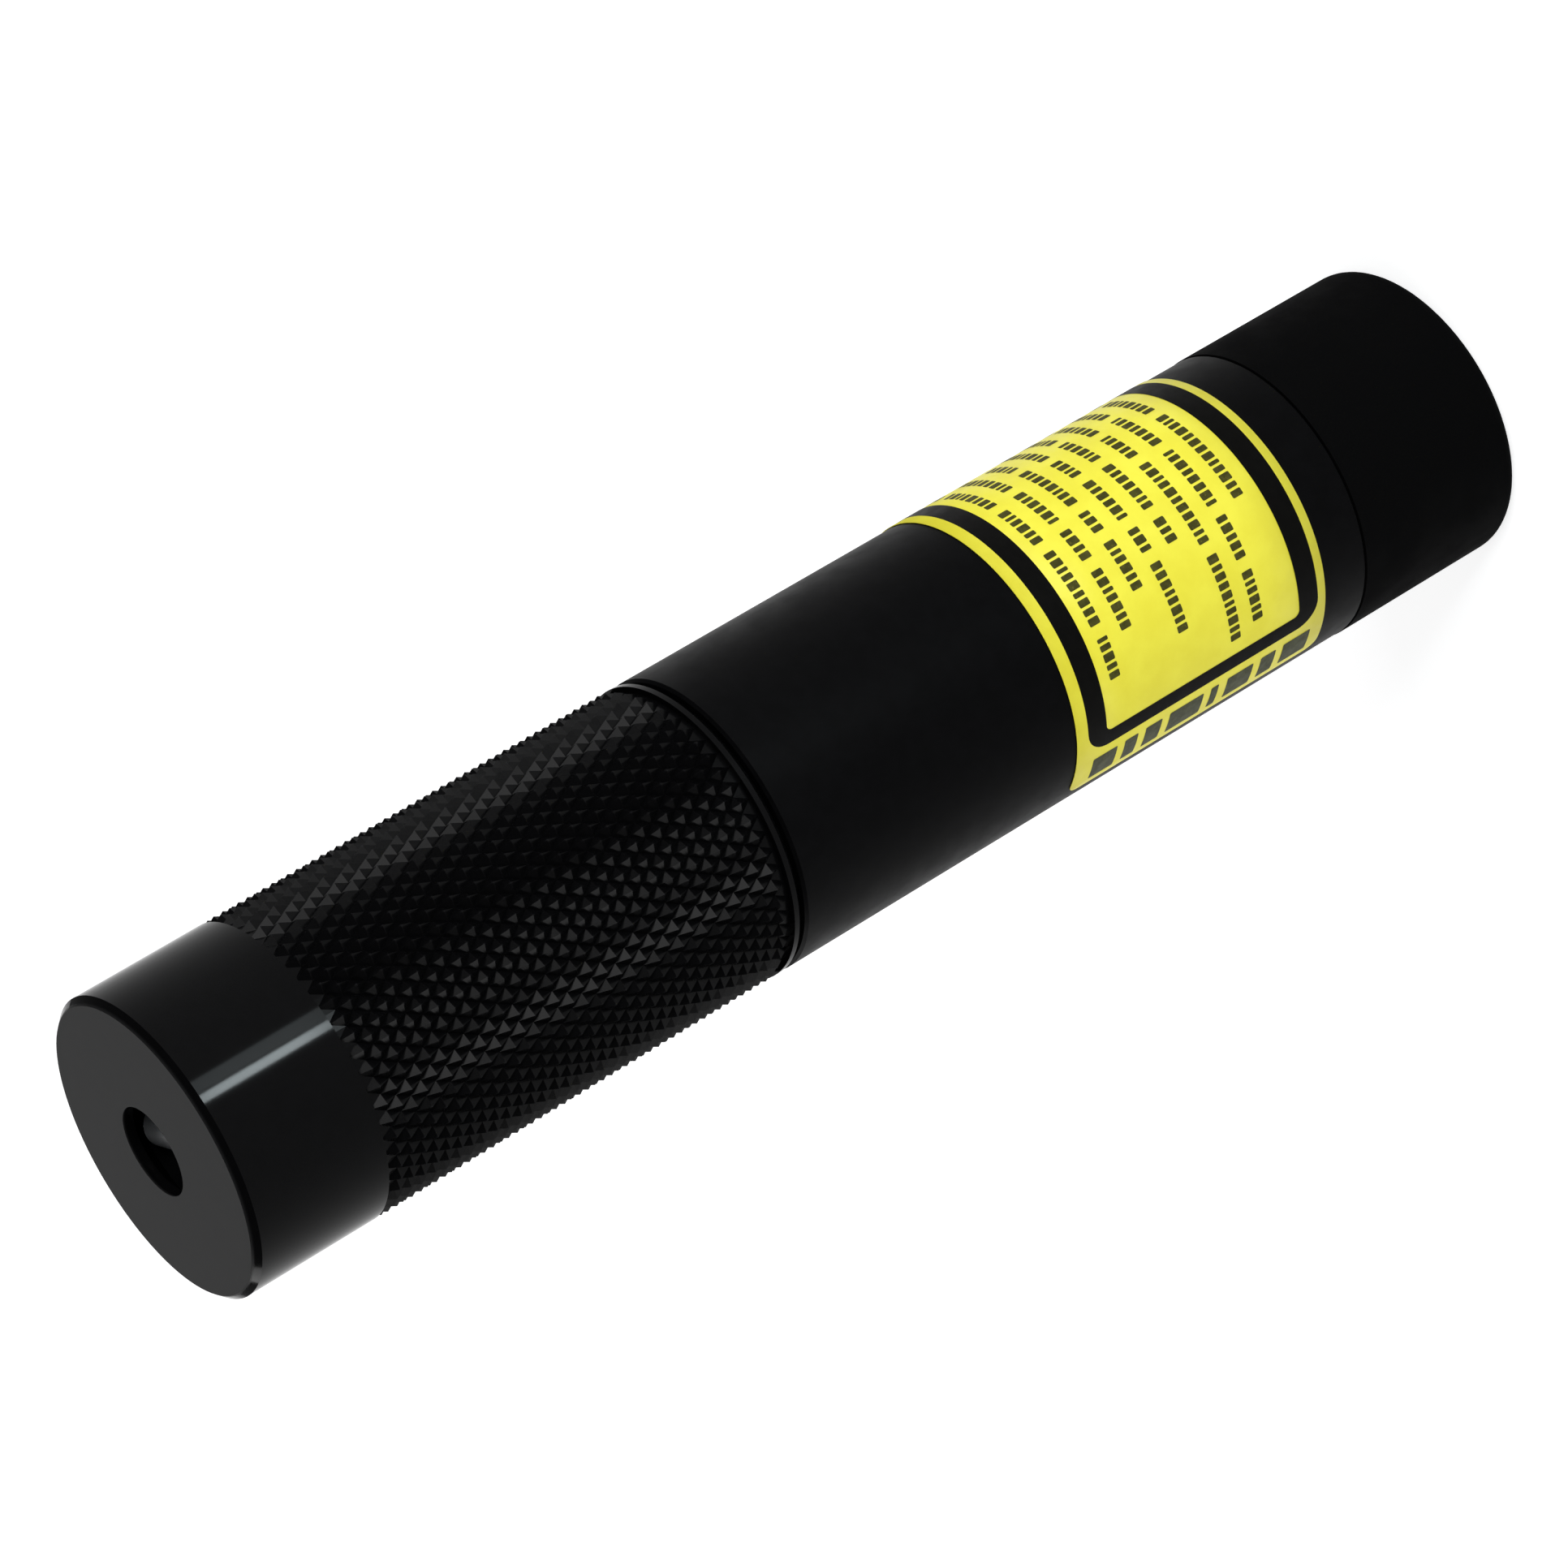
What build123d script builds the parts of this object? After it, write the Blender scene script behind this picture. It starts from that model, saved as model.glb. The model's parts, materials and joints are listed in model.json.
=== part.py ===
"""Focusing laser diode module: a slim barrel with a knurled head that turns to focus.

Millimetres. It stands on its tail face: the origin is that face's centre, and +Z runs along the beam
to the front face. -Y is the side that the label's print is read from.
"""

import os
from math import cos, degrees, pi, radians, sin, tau

from build123d import *

# Outside
module_length = 110.0
barrel_diameter = 22.0
tail_cap_length = 14.5
tail_cap_rise = 0.05  # radius proud of the barrel
tail_edge_radius = 1.0
head_length = 44.7
head_band_length = 10.5
knurl_length = 33.5
knurl_rise = 0.05  # crests proud of the barrel
knurl_depth = 0.53
knurl_pitch = 1.28  # around, from crest to crest
knurl_row_pitch = 1.97  # along, from crest to crest
knurl_core_step = 0.1  # plain core below the grooves
rim_chamfer = 0.3
seam_gap = 0.3  # between the turning head and the barrel
front_edge_chamfer = 0.5
barrel_edge_chamfer = 0.2
aperture_diameter = 6.5
front_wall = 0.8

# Label
label_length = 40.0  # around the barrel
label_height = 22.8  # along the barrel
label_thickness = 0.06
label_adhesive = 0.02
label_corner_radius = 1.5
label_offset = 4.0  # from the tail cap
label_angle = -61.5  # middle of the label, degrees from +X

# Fits
running_clearance = 0.05
seat_clearance = 0.02
end_gap = 0.2

# Barrel and nose
tube_wall = 2.0
web_thickness = 3.0
nose_length = 25.0
nose_wall = 2.5
head_wall = 2.45

# Head retention and drag
snap_wire = 1.2
snap_offset = 5.0  # from the barrel's shoulder
snap_gap_angle = 40.0
head_ring_section = 1.5
head_ring_offset = 10.0  # from the barrel's shoulder

# Focusing thread, left plain, and the lens cell that it drives
focus_pitch = 0.75
focus_turn = 180.0  # each way from the middle
thread_step = 0.55
nose_end_gap = 0.6
cell_gap = 1.6  # cell to nose at the near end of its travel
cell_thread_length = 8.0
key_width = 3.0
key_depth = 1.2
key_edge_gap = 0.3
key_engagement = 4.0
key_count = 2

# Collimator
lens_diameter = 7.0
lens_edge = 1.8
lens_crown = 1.2
lens_clear_diameter = 5.6
lens_back_wall = 1.5
lens_ring_width = 1.1
lens_ring_height = 1.2
lens_ring_step = 0.5

# Line lens and its mount
line_lens_diameter = 3.0
line_lens_end_gap = 1.5  # to the cell, at each end
line_lens_angle = 70.0  # degrees from +X
line_lens_gap = 0.2  # to the front wall at the far end of the travel
mount_floor = 2.5
mount_lip = 0.5
mount_ring_width = 2.6  # round the beam's hole
cell_front_step = 1.7
cell_front_wall = 1.25
cell_front_gap = 0.8

# Preload spring
spring_wire = 0.5
spring_turns = 3.5
spring_side_gap = 0.3

# Laser diode, its holder and clamp ring
diode_flange_diameter = 5.6
diode_flange_height = 1.2
diode_can_diameter = 3.6
diode_can_height = 2.3
diode_window_diameter = 1.6
diode_window_depth = 0.2
diode_lead_diameter = 0.45
diode_lead_circle = 2.0
diode_lead_length = 6.5
diode_notch = 0.8
holder_recess = 3.0  # holder's face behind the nose's end
holder_length = 11.0
holder_wall = 1.5  # round the board's tongue
holder_recess_depth = 6.0
holder_lead_hole = 3.4
clamp_land = 0.8  # the clamp ring's thread beyond the flange
clamp_ring_height = 1.5
clamp_ring_bore = 4.2

# Driver board in its sleeve
sleeve_wall = 0.7
sleeve_clearance = 0.1
board_groove_depth = 0.4
board_thickness = 0.8
board_margin = 1.0
tongue_gap = 1.0  # to the holder, on each side
solder_length = 3.0

# Parts on the driver board; each offset runs from the board's rear edge
chip_length = 4.9
chip_width = 3.9
chip_height = 1.5
chip_lift = 0.15
chip_offset = 19.0
leg_rows = 4
leg_pitch = 1.27
leg_width = 0.4
leg_reach = 1.05
leg_height = 0.6
capacitor_diameter = 5.0
capacitor_height = 4.4
capacitor_base = 5.3
capacitor_base_height = 1.0
capacitor_corner = 1.0
capacitor_offset = 9.5
trim_size = 4.5
trim_height = 2.0
trim_rotor_diameter = 3.0
trim_rotor_height = 0.6
trim_slot_width = 0.5
trim_offset = 28.0
guard_length = 4.3
guard_width = 2.6
guard_height = 2.1
guard_tab_length = 5.2
guard_tab_width = 1.5
guard_tab_height = 0.8
guard_offset = 13.0
resistor_length = 2.0
resistor_width = 1.25
resistor_height = 0.5
resistor_pitch = 3.0
resistor_count = 4
resistor_offset = 24.0

# Tail cap
cap_end_wall = 4.0
spigot_length = 6.5
spigot_wall = 1.45
tail_ring_section = 1.2
tail_ring_offset = 2.0  # from the barrel's end

# Power inlet for a 5.5 mm plug
inlet_bore_diameter = 5.8
inlet_depth = 10.0
inlet_pin_diameter = 2.1
inlet_pin_recess = 1.2
inlet_pin_rounding = 0.5
socket_shell_diameter = 8.0
socket_flange_diameter = 10.0
socket_flange_height = 1.0
socket_recess = 0.3  # flange below the tail face
socket_back = 2.7
nut_across_flats = 9.5
nut_height = 2.0
contact_width = 1.5
contact_thickness = 0.4
contact_reach = 7.0
pin_shank_diameter = 1.4
tag_length = 4.0
tag_thickness = 0.5

# Wires
wire_diameter = 1.3
wire_bend = 2.0
wire_spread = 4.0  # from the middle of the board
wire_pad_length = 4.0

# Stations along the axis
head_rear = module_length - head_length
barrel_front = head_rear - seam_gap
barrel_rear = tail_cap_length
nose_front = barrel_front + nose_length
cavity_front = barrel_front - web_thickness
front_inner = module_length - front_wall
knurl_front = module_length - head_band_length
knurl_rear = knurl_front - knurl_length
snap_z = barrel_front + snap_offset
head_ring_z = barrel_front + head_ring_offset

focus_travel = focus_pitch * focus_turn / 360
head_bore_end = nose_front + nose_end_gap
cell_rear = nose_front + cell_gap + focus_travel
cell_step = cell_rear + cell_thread_length
thread_end = cell_step + focus_travel + end_gap
line_lens_z = front_inner - focus_travel - line_lens_gap - line_lens_diameter / 2
mount_rear = line_lens_z - line_lens_diameter / 2 - mount_floor
mount_front = line_lens_z + mount_lip
key_rear = nose_front - key_engagement
slot_rear = key_rear - focus_travel - end_gap
lens_rear = cell_rear + lens_back_wall
lens_front = lens_rear + lens_edge

holder_front = nose_front - holder_recess
holder_rear = holder_front - holder_length
flange_front = holder_front - clamp_ring_height
flange_rear = flange_front - diode_flange_height
lead_tip = flange_rear - diode_lead_length

spigot_front = barrel_rear + spigot_length
tail_ring_z = barrel_rear + tail_ring_offset
sleeve_rear = spigot_front + end_gap
sleeve_front = cavity_front - end_gap
board_rear = sleeve_rear + board_margin
board_shoulder = sleeve_front - board_margin
tongue_front = lead_tip + solder_length
socket_seat = socket_recess + socket_flange_height
inlet_floor = socket_recess + inlet_depth
socket_end = inlet_floor + socket_back
tag_end = socket_end + tag_length

# Radii
barrel_radius = barrel_diameter / 2
cap_radius = barrel_radius + tail_cap_rise
crest_radius = barrel_radius + knurl_rise
root_radius = crest_radius - knurl_depth
knurl_core_radius = root_radius - knurl_core_step
head_bore_radius = barrel_radius - head_wall
nose_radius = head_bore_radius - running_clearance
nose_bore_radius = nose_radius - nose_wall
holder_recess_radius = nose_bore_radius - holder_wall
tongue_half_width = holder_recess_radius - tongue_gap
clamp_ring_radius = diode_flange_diameter / 2 + clamp_land
thread_radius = head_bore_radius - thread_step
cell_radius = thread_radius - running_clearance
cell_front_radius = cell_radius - cell_front_step
mount_radius = cell_front_radius - cell_front_wall
line_lens_half = mount_radius - line_lens_end_gap
front_cavity_radius = cell_front_radius + cell_front_gap
lens_radius = lens_diameter / 2
lens_tube_radius = lens_radius + lens_ring_step
lens_ring_bore_radius = lens_tube_radius - lens_ring_width
tube_bore_radius = barrel_radius - tube_wall
sleeve_radius = tube_bore_radius - sleeve_clearance
sleeve_bore_radius = sleeve_radius - sleeve_wall
board_half_width = sleeve_bore_radius + board_groove_depth - running_clearance
spigot_radius = tube_bore_radius - running_clearance
cap_cavity_radius = spigot_radius - spigot_wall
snap_radius = nose_radius
key_outer = cell_radius - key_edge_gap
key_inner = key_outer - key_depth
key_middle = (key_outer + key_inner) / 2
spring_radius = nose_bore_radius - spring_side_gap - spring_wire / 2


def radial_plane(angle):
    """Upright plane through the Z axis, its x pointing out at this angle."""
    turn = radians(angle)
    return Plane(origin=(0, 0, 0), x_dir=(cos(turn), sin(turn), 0), z_dir=(sin(turn), -cos(turn), 0))


def tangent_plane(angle, height):
    """Plane that touches the barrel at this angle, its x running round and its y along the barrel."""
    turn = radians(angle)
    return Plane(
        origin=(barrel_radius * cos(turn), barrel_radius * sin(turn), height),
        x_dir=(-sin(turn), cos(turn), 0),
        z_dir=(cos(turn), sin(turn), 0),
    )


def outline(*points):
    """Closed face of (radius, height) points, to be revolved about Z."""
    with BuildSketch(Plane.XZ) as face:
        with BuildLine():
            Polyline(*points, close=True)
        make_face()
    return face.sketch


def ring_outline(inner, outer, rear, front):
    """Section of a plain ring or groove about Z."""
    return outline((inner, rear), (outer, rear), (outer, front), (inner, front))


def board_face(along, side):
    """Plane on one face of the board, its z pointing away from the board; side is +1 or -1."""
    return Plane(
        origin=(0, side * board_thickness / 2, along),
        x_dir=(1, 0, 0),
        z_dir=(0, side, 0),
    )


def round_section(radius, section, height):
    """Round section of a ring of wire or rubber about Z."""
    with BuildSketch(Plane.XZ) as face:
        with Locations((radius, height)):
            Circle(section / 2)
    return face.sketch


# Diamond knurl: two crossing sets of grooves leave rows of flat-sided points, each row half a
# step round from the one below. A crest is where step and row are both even or both odd, and
# two grooves cross at the other corners.
knurl_steps = 2 * round(pi * barrel_diameter / knurl_pitch)
knurl_rows = 2 * round(knurl_length / knurl_row_pitch)


def knurl_corner(step, row):
    """Corner of the knurl, counted in half steps round and half rows along. Both ends are relieved."""
    is_crest = (step + row) % 2 == 0 and row not in (0, knurl_rows)
    radius = crest_radius if is_crest else root_radius
    turn = tau * step / knurl_steps
    return (radius * cos(turn), radius * sin(turn), knurl_rear + row * knurl_length / knurl_rows)


facets = []
for row in range(knurl_rows):
    for step in range(knurl_steps):
        cell = [(step, row), (step + 1, row), (step + 1, row + 1), (step, row + 1)]
        if (step + row) % 2 == 1:
            cell = cell[1:] + cell[:1]
        crest, side, far_crest, far_side = [knurl_corner(*corner) for corner in cell]
        facets.append(Face(Wire.make_polygon([crest, side, far_side])))
        facets.append(Face(Wire.make_polygon([far_crest, far_side, side])))
for row, height in ((0, knurl_rear), (knurl_rows, knurl_front)):
    facets.append(
        Face(
            Wire.make_polygon([knurl_corner(step, row) for step in range(knurl_steps)]),
            [Wire.make_circle(knurl_core_radius, Plane.XY.offset(height))],
        )
    )
core_edge = Edge.make_circle(knurl_core_radius, Plane.XY.offset(knurl_rear))
facets.append(Face.extrude(core_edge, (0, 0, knurl_length)))
knurl = Solid(Shell(facets))

# Focus head: plain front band, knurled grip, rim, stepped bore and the round aperture
snap_groove_half = snap_wire / 2 + running_clearance
with BuildPart() as focus_head:
    revolve(
        outline(
            (head_bore_radius, head_rear),
            (barrel_radius - rim_chamfer, head_rear),
            (barrel_radius, head_rear + rim_chamfer),
            (barrel_radius, knurl_rear),
            (knurl_core_radius, knurl_rear),
            (knurl_core_radius, knurl_front),
            (barrel_radius, knurl_front),
            (barrel_radius, module_length - front_edge_chamfer),
            (barrel_radius - front_edge_chamfer, module_length),
            (aperture_diameter / 2, module_length),
            (aperture_diameter / 2, front_inner),
            (front_cavity_radius, front_inner),
            (front_cavity_radius, thread_end),
            (thread_radius, thread_end),
            (thread_radius, head_bore_end),
            (head_bore_radius, head_bore_end),
        ),
        axis=Axis.Z,
    )
    revolve(
        ring_outline(
            head_bore_radius - running_clearance,
            snap_radius + snap_groove_half,
            snap_z - snap_groove_half,
            snap_z + snap_groove_half,
        ),
        axis=Axis.Z,
        mode=Mode.SUBTRACT,
    )
    add(knurl, clean=False)

# Barrel with its stepped nose: grooves for the snap ring and the drag ring, slots for the cell's keys
head_ring_inner = head_bore_radius - running_clearance - head_ring_section
head_ring_half = head_ring_section / 2 + end_gap
slot_width = key_width + 2 * running_clearance
with BuildPart() as body_tube:
    revolve(
        outline(
            (tube_bore_radius, barrel_rear),
            (barrel_radius - barrel_edge_chamfer, barrel_rear),
            (barrel_radius, barrel_rear + barrel_edge_chamfer),
            (barrel_radius, barrel_front - barrel_edge_chamfer),
            (barrel_radius - barrel_edge_chamfer, barrel_front),
            (nose_radius, barrel_front),
            (nose_radius, nose_front),
            (nose_bore_radius, nose_front),
            (nose_bore_radius, cavity_front),
            (tube_bore_radius, cavity_front),
        ),
        axis=Axis.Z,
    )
    revolve(
        ring_outline(
            snap_radius - snap_groove_half,
            nose_radius + running_clearance,
            snap_z - snap_groove_half,
            snap_z + snap_groove_half,
        ),
        axis=Axis.Z,
        mode=Mode.SUBTRACT,
    )
    revolve(
        ring_outline(
            head_ring_inner,
            nose_radius + running_clearance,
            head_ring_z - head_ring_half,
            head_ring_z + head_ring_half,
        ),
        axis=Axis.Z,
        mode=Mode.SUBTRACT,
    )
    with BuildSketch(Plane.XY.offset(slot_rear)):
        with PolarLocations((nose_radius + nose_bore_radius) / 2, key_count):
            Rectangle(2 * nose_wall, slot_width)
    extrude(until=Until.LAST, mode=Mode.SUBTRACT)

# Split wire ring that holds the head on the nose
with BuildPart() as snap_ring:
    with BuildSketch(radial_plane(snap_gap_angle / 2)):
        with Locations((snap_radius, snap_z)):
            Circle(snap_wire / 2)
    revolve(axis=Axis.Z, revolution_arc=360 - snap_gap_angle)

# Rubber ring that gives the head its drag
with BuildPart() as head_o_ring:
    revolve(
        round_section(
            head_ring_inner + head_ring_section / 2, head_ring_section, head_ring_z,
        ),
        axis=Axis.Z,
    )

# Keyed cell that the head's thread drives along the axis
with BuildPart() as lens_cell:
    revolve(
        outline(
            (lens_clear_diameter / 2, cell_rear),
            (cell_radius, cell_rear),
            (cell_radius, cell_step),
            (cell_front_radius, cell_step),
            (cell_front_radius, mount_front),
            (mount_radius, mount_front),
            (mount_radius, mount_rear),
            (lens_tube_radius, mount_rear),
            (lens_tube_radius, lens_front),
            (lens_radius, lens_front),
            (lens_radius, lens_rear),
            (lens_clear_diameter / 2, lens_rear),
        ),
        axis=Axis.Z,
    )
    with BuildSketch(Plane.XY.offset(key_rear)):
        with PolarLocations(key_middle, key_count):
            Rectangle(key_depth, key_width)
    extrude(amount=cell_rear - key_rear)

# Collimating lens: flat back, flat rim and a domed front
dome_radius = lens_ring_bore_radius - seat_clearance
with BuildPart() as collimator_lens:
    with BuildSketch(Plane.XZ):
        with BuildLine():
            Polyline(
                (0, lens_front + lens_crown),
                (0, lens_rear),
                (lens_radius - seat_clearance, lens_rear),
                (lens_radius - seat_clearance, lens_front),
                (dome_radius, lens_front),
            )
            dome_sphere = (dome_radius**2 + lens_crown**2) / (2 * lens_crown)
            RadiusArc((0, lens_front + lens_crown), (dome_radius, lens_front), dome_sphere)
        make_face()
    revolve(axis=Axis.Z)

# Screw ring on the collimator's rim
with BuildPart() as collimator_ring:
    revolve(
        ring_outline(
            lens_ring_bore_radius,
            lens_tube_radius - seat_clearance,
            lens_front,
            lens_front + lens_ring_height,
        ),
        axis=Axis.Z,
    )

# Glass rod that spreads the beam into a line
line_turn = radians(line_lens_angle)
line_plane = Plane(origin=(0, 0, line_lens_z), z_dir=(cos(line_turn), sin(line_turn), 0))
with BuildPart() as line_lens:
    with BuildSketch(line_plane):
        Circle(line_lens_diameter / 2)
    extrude(amount=line_lens_half, both=True)

# Disc with the channel that the rod is bonded into
channel_radius = line_lens_diameter / 2 + seat_clearance
with BuildPart() as line_lens_mount:
    revolve(
        ring_outline(
            mount_radius - mount_ring_width, mount_radius - seat_clearance, mount_rear, mount_front,
        ),
        axis=Axis.Z,
    )
    with BuildSketch(line_plane):
        Circle(channel_radius)
    extrude(amount=mount_radius, both=True, mode=Mode.SUBTRACT)
    with BuildSketch(Plane(origin=(0, 0, line_lens_z), x_dir=line_plane.z_dir, z_dir=(0, 0, 1))):
        Rectangle(2 * mount_radius, 2 * channel_radius)
    extrude(amount=mount_lip, mode=Mode.SUBTRACT)

# Coil spring that takes up the thread's play
spring_rise = cell_rear - holder_front - spring_wire - 2 * running_clearance
with BuildPart() as preload_spring:
    with BuildLine() as coil:
        Helix(
            pitch=spring_rise / spring_turns,
            height=spring_rise,
            radius=spring_radius,
            center=(0, 0, holder_front + spring_wire / 2 + running_clearance),
        )
    with BuildSketch(Plane(origin=coil.line @ 0, z_dir=coil.line % 0)):
        Circle(spring_wire / 2)
    sweep(is_frenet=True)

# Slug pressed into the nose, with the diode's seat in front and room for the board behind
with BuildPart() as diode_holder:
    revolve(
        outline(
            (holder_recess_radius, holder_rear),
            (nose_bore_radius - seat_clearance, holder_rear),
            (nose_bore_radius - seat_clearance, holder_front),
            (clamp_ring_radius, holder_front),
            (clamp_ring_radius, flange_front),
            (diode_flange_diameter / 2, flange_front),
            (diode_flange_diameter / 2, flange_rear),
            (holder_lead_hole / 2, flange_rear),
            (holder_lead_hole / 2, holder_rear + holder_recess_depth),
            (holder_recess_radius, holder_rear + holder_recess_depth),
        ),
        axis=Axis.Z,
    )

# Laser diode: notched flange, can with its window, three leads
lead_corner = diode_lead_circle / 2 * cos(radians(45))
with BuildPart() as laser_diode:
    revolve(
        outline(
            (0, flange_rear),
            (diode_flange_diameter / 2 - seat_clearance, flange_rear),
            (diode_flange_diameter / 2 - seat_clearance, flange_front),
            (diode_can_diameter / 2, flange_front),
            (diode_can_diameter / 2, flange_front + diode_can_height),
            (diode_window_diameter / 2, flange_front + diode_can_height),
            (diode_window_diameter / 2, flange_front + diode_can_height - diode_window_depth),
            (0, flange_front + diode_can_height - diode_window_depth),
        ),
        axis=Axis.Z,
    )
    with BuildSketch(Plane.XY.offset(flange_rear)):
        with PolarLocations(diode_flange_diameter / 2, 2):
            RegularPolygon(diode_notch / 2, 4)
    extrude(amount=diode_flange_height, mode=Mode.SUBTRACT)
    with BuildSketch(Plane.XY.offset(lead_tip)):
        with Locations(
            (lead_corner, lead_corner), (-lead_corner, lead_corner), (-lead_corner, -lead_corner)
        ):
            Circle(diode_lead_diameter / 2)
    extrude(amount=diode_lead_length)

# Screw ring on the diode's flange
with BuildPart() as diode_clamp_ring:
    revolve(
        ring_outline(
            clamp_ring_bore / 2,
            clamp_ring_radius - seat_clearance,
            flange_front,
            holder_front,
        ),
        axis=Axis.Z,
    )

# Insulating sleeve, grooved for the board's edges
groove_reach = 2 * (sleeve_bore_radius + board_groove_depth)
with BuildPart() as board_sleeve:
    revolve(ring_outline(sleeve_bore_radius, sleeve_radius, sleeve_rear, sleeve_front), axis=Axis.Z)
    with BuildSketch(Plane.XY.offset(sleeve_rear)):
        Rectangle(groove_reach, board_thickness + 2 * running_clearance)
    extrude(amount=sleeve_front - sleeve_rear, mode=Mode.SUBTRACT)

# Driver board: wide in the sleeve, then a tongue through the nose to the diode's leads
with BuildPart() as driver_board:
    with BuildSketch(Plane.XZ):
        with Locations((0, board_rear)):
            Rectangle(
                2 * board_half_width, board_shoulder - board_rear, align=(Align.CENTER, Align.MIN)
            )
        with Locations((0, board_shoulder)):
            Rectangle(
                2 * tongue_half_width, tongue_front - board_shoulder, align=(Align.CENTER, Align.MIN)
            )
    extrude(amount=board_thickness / 2, both=True)

# Eight-legged driver chip
chip_along = board_rear + chip_offset
with BuildPart() as driver_chip:
    with BuildSketch(board_face(chip_along, 1).offset(chip_lift)):
        Rectangle(chip_width, chip_length)
    extrude(amount=chip_height)
    with BuildSketch(board_face(chip_along, 1)):
        with GridLocations(chip_width + leg_reach, leg_pitch, 2, leg_rows):
            Rectangle(leg_reach, leg_width)
    extrude(amount=leg_height)

# Filter capacitor: can on a moulded base with two cut corners
capacitor_along = board_rear + capacitor_offset
capacitor_face = board_face(capacitor_along, 1)
with BuildPart() as filter_capacitor:
    with BuildSketch(capacitor_face):
        Rectangle(capacitor_base, capacitor_base)
    extrude(amount=capacitor_base_height)
    chamfer(
        filter_capacitor.edges().filter_by(Axis.Y).group_by(Axis.X)[-1],
        capacitor_corner,
    )
    with BuildSketch(capacitor_face.offset(capacitor_base_height)):
        Circle(capacitor_diameter / 2)
    extrude(amount=capacitor_height)

# Trimmer that sets the diode's current, with its slotted rotor
trim_along = board_rear + trim_offset
trim_face = board_face(trim_along, 1)
with BuildPart() as trim_pot:
    with BuildSketch(trim_face):
        Rectangle(trim_size, trim_size)
    extrude(amount=trim_height)
    with BuildSketch(trim_face.offset(trim_height)):
        Circle(trim_rotor_diameter / 2)
        Rectangle(trim_rotor_diameter, trim_slot_width, mode=Mode.SUBTRACT)
    extrude(amount=trim_rotor_height)

# Diode that guards against a reversed supply, with its two end tabs
guard_face = board_face(board_rear + guard_offset, -1)
with BuildPart() as protection_diode:
    with BuildSketch(guard_face):
        Rectangle(guard_width, guard_length)
    extrude(amount=guard_height)
    with BuildSketch(guard_face):
        Rectangle(guard_tab_width, guard_tab_length)
    extrude(amount=guard_tab_height)

# Chip resistors on the board's back
resistor_along = board_rear + resistor_offset
with BuildPart() as chip_resistors:
    with BuildSketch(board_face(resistor_along, -1)):
        with GridLocations(resistor_pitch, resistor_pitch, resistor_count, 1):
            Rectangle(resistor_width, resistor_length)
    extrude(amount=resistor_height)

# Printed film wrapped round the barrel, its corners rounded
label_wrap = degrees(label_length / barrel_radius)
label_rear = barrel_rear + label_offset
corner_middle = label_height / 2 - label_corner_radius
corner_wrap = label_wrap / 2 - degrees(label_corner_radius / barrel_radius)
with BuildPart() as label:
    with BuildSketch(radial_plane(label_angle - label_wrap / 2)):
        with Locations((barrel_radius + label_adhesive, label_rear)):
            Rectangle(label_thickness, label_height, align=(Align.MIN, Align.MIN))
    revolve(axis=Axis.Z, revolution_arc=label_wrap)
    for side in (-1, 1):
        with BuildSketch(tangent_plane(label_angle + side * corner_wrap, label_rear)):
            for end in (-1, 1):
                with Locations((0, label_height / 2 + end * corner_middle)):
                    with Locations((side * label_corner_radius / 2, end * label_corner_radius / 2)):
                        Rectangle(label_corner_radius, label_corner_radius)
                    Circle(label_corner_radius, mode=Mode.SUBTRACT)
        extrude(amount=label_corner_radius, both=True, mode=Mode.SUBTRACT)

# Tail cap: recess and hole for the inlet, hollow spigot with a sealing groove
socket_hole_radius = socket_shell_diameter / 2 + running_clearance
socket_recess_radius = socket_flange_diameter / 2 + sleeve_clearance
tail_ring_inner = tube_bore_radius - running_clearance - tail_ring_section
tail_ring_half = tail_ring_section / 2 + end_gap
with BuildPart() as tail_cap:
    revolve(
        outline(
            (socket_recess_radius, 0),
            (cap_radius, 0),
            (cap_radius, tail_cap_length),
            (spigot_radius, tail_cap_length),
            (spigot_radius, spigot_front),
            (cap_cavity_radius, spigot_front),
            (cap_cavity_radius, cap_end_wall),
            (socket_hole_radius, cap_end_wall),
            (socket_hole_radius, socket_seat),
            (socket_recess_radius, socket_seat),
        ),
        axis=Axis.Z,
    )
    revolve(
        ring_outline(
            tail_ring_inner,
            spigot_radius + running_clearance,
            tail_ring_z - tail_ring_half,
            tail_ring_z + tail_ring_half,
        ),
        axis=Axis.Z,
        mode=Mode.SUBTRACT,
    )
    tail_edges = tail_cap.edges().filter_by(GeomType.CIRCLE).group_by(Axis.Z)[0]
    fillet(tail_edges.sort_by(SortBy.RADIUS)[-1], tail_edge_radius)

# Rubber ring that seals the cap in the barrel
with BuildPart() as tail_o_ring:
    revolve(
        round_section(
            tail_ring_inner + tail_ring_section / 2, tail_ring_section, tail_ring_z,
        ),
        axis=Axis.Z,
    )

# Inlet's moulded shell, with a channel for the side contact
shank_hole_radius = pin_shank_diameter / 2 + seat_clearance
inlet_bore_radius = inlet_bore_diameter / 2
contact_rear = inlet_floor - contact_reach
contact_middle = inlet_bore_radius + contact_thickness / 2
with BuildPart() as socket_body:
    revolve(
        outline(
            (inlet_bore_radius, socket_recess),
            (socket_flange_diameter / 2, socket_recess),
            (socket_flange_diameter / 2, socket_seat),
            (socket_shell_diameter / 2, socket_seat),
            (socket_shell_diameter / 2, socket_end),
            (shank_hole_radius, socket_end),
            (shank_hole_radius, inlet_floor),
            (inlet_bore_radius, inlet_floor),
        ),
        axis=Axis.Z,
    )
    with BuildSketch(Plane.XY.offset(contact_rear - seat_clearance)):
        with Locations((0, -contact_middle)):
            Rectangle(
                contact_width + 2 * seat_clearance, contact_thickness + 2 * seat_clearance
            )
    extrude(until=Until.LAST, mode=Mode.SUBTRACT)

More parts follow.
